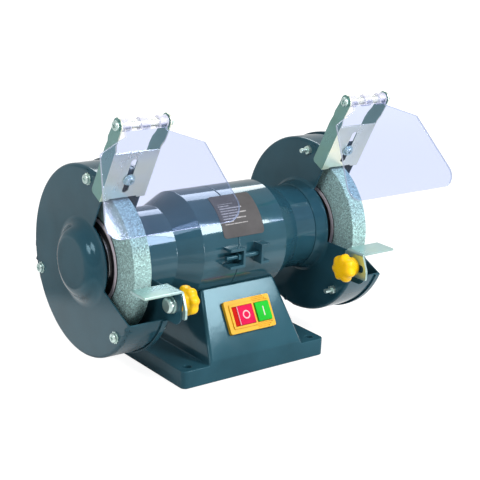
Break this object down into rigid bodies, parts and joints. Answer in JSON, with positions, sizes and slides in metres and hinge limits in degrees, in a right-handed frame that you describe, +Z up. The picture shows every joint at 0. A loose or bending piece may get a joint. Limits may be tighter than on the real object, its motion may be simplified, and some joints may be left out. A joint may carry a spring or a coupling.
{
  "type": "bench grinder",
  "caption": "Bench grinder with a guarded wheel at each end of its motor, tool rests, tilting clear eye shields and a push-button switch on a bolt-down base.",
  "frame": {"origin": "on the bench, under the middle of the four mounting holes, which is also under the middle of the motor", "axes": "+X along the spindle to the operator's right, +Y to the back, +Z up"},
  "size_m": [0.3493, 0.1759, 0.2296],
  "materials": {
    "painted_steel": "gloss",
    "zinc_plate": "satin",
    "bright_steel": "satin",
    "abrasive": "rough",
    "clear_sheet": "gloss",
    "yellow_plastic": "gloss",
    "red_plastic": "gloss",
    "green_plastic": "gloss",
    "black_plastic": "matte",
    "rubber": "matte",
    "paper": "matte",
    "copper_wire": "satin",
    "label_grey": "satin",
    "white_plastic": "matte"
  },
  "bodies": {
    "machine": {"stand": "painted_steel", "bottom_plate": "zinc_plate", "bottom_plate_screws": "zinc_plate", "rubber_feet": "rubber", "motor_shell_left": "painted_steel", "motor_shell_right": "painted_steel", "shell_clamp_screws": "zinc_plate", "shell_clamp_nuts": "zinc_plate", "motor_mount_screws": "zinc_plate", "stator_core": "bright_steel", "stator_windings": "copper_wire", "bearing_left": "bright_steel", "bearing_right": "bright_steel", "wave_washer": "bright_steel", "guard_drum_left": "painted_steel", "guard_lid_left": "painted_steel", "guard_drum_right": "painted_steel", "guard_lid_right": "painted_steel", "cover_screws": "zinc_plate", "cover_washers": "zinc_plate", "cover_nuts": "zinc_plate", "guard_fixing_screws": "zinc_plate", "rest_bolts": "zinc_plate", "rest_washers": "zinc_plate", "bracket_screws": "zinc_plate", "bracket_nuts": "zinc_plate", "rating_label": "label_grey", "switch_bezel": "yellow_plastic", "switch_body": "black_plastic", "capacitor": "white_plastic", "capacitor_clip": "zinc_plate", "terminal_block": "white_plastic", "cable_gland": "black_plastic", "gland_nut": "black_plastic"},
    "rotor": {"rotor_core": "bright_steel", "shaft": "bright_steel", "inner_flanges": "zinc_plate", "outer_flanges": "zinc_plate", "wheel_blotters": "paper", "wheel_left": "abrasive", "wheel_right": "abrasive", "spindle_nuts": "zinc_plate"},
    "left_rest": {"tool_rest_left": "zinc_plate"},
    "right_rest": {"tool_rest_right": "zinc_plate"},
    "left_knob": {"rest_knob_left": "yellow_plastic"},
    "right_knob": {"rest_knob_right": "yellow_plastic"},
    "left_bracket": {"shield_bracket_left": "zinc_plate", "hinge_bolt_left": "zinc_plate", "hinge_nut_left": "zinc_plate", "hinge_tube_left": "bright_steel"},
    "right_bracket": {"shield_bracket_right": "zinc_plate", "hinge_bolt_right": "zinc_plate", "hinge_nut_right": "zinc_plate", "hinge_tube_right": "bright_steel"},
    "left_shield": {"eye_shield_left": "clear_sheet"},
    "right_shield": {"eye_shield_right": "clear_sheet"},
    "stop": {"stop_button": "red_plastic"},
    "start": {"start_button": "green_plastic"}
  },
  "joints": [
    {"name": "spindle_spin", "type": "hinge", "parent": "machine", "child": "rotor", "pos_m": [0, 0, 0.101], "axis": [1, 0, 0], "continuous": true},
    {"name": "left_bracket_slide", "type": "slide", "parent": "machine", "child": "left_bracket", "axis": [0, -0.4462, 0.8949], "range_m": [-0.001, 0.008]},
    {"name": "right_bracket_slide", "type": "slide", "parent": "machine", "child": "right_bracket", "axis": [0, -0.4462, 0.8949], "range_m": [-0.001, 0.008]},
    {"name": "left_shield_tilt", "type": "hinge", "parent": "left_bracket", "child": "left_shield", "pos_m": [-0.1127, -0.0571, 0.22338], "axis": [-1, 0, 0], "range_deg": [-8, 130]},
    {"name": "right_shield_tilt", "type": "hinge", "parent": "right_bracket", "child": "right_shield", "pos_m": [0.1127, -0.0571, 0.22338], "axis": [-1, 0, 0], "range_deg": [-18, 120]},
    {"name": "left_rest_slide", "type": "slide", "parent": "machine", "child": "left_rest", "axis": [0, 1, 0], "range_m": [-0.006, 0.005]},
    {"name": "right_rest_slide", "type": "slide", "parent": "machine", "child": "right_rest", "axis": [0, 1, 0], "range_m": [-0.006, 0.005]},
    {"name": "left_knob_turn", "type": "hinge", "parent": "machine", "child": "left_knob", "pos_m": [-0.084, -0.07897, 0.083], "axis": [1, 0, 0], "range_deg": [0, 360]},
    {"name": "right_knob_turn", "type": "hinge", "parent": "machine", "child": "right_knob", "pos_m": [0.084, -0.07897, 0.083], "axis": [-1, 0, 0], "range_deg": [0, 360]},
    {"name": "stop_press", "type": "slide", "parent": "machine", "child": "stop", "axis": [0, 0.859, -0.512], "range_m": [0, 0.0022], "stiffness_N_per_m": 600, "springref_m": -0.0005},
    {"name": "start_press", "type": "slide", "parent": "machine", "child": "start", "axis": [0, 0.859, -0.512], "range_m": [0, 0.0022], "stiffness_N_per_m": 600, "springref_m": -0.0005}
  ]
}
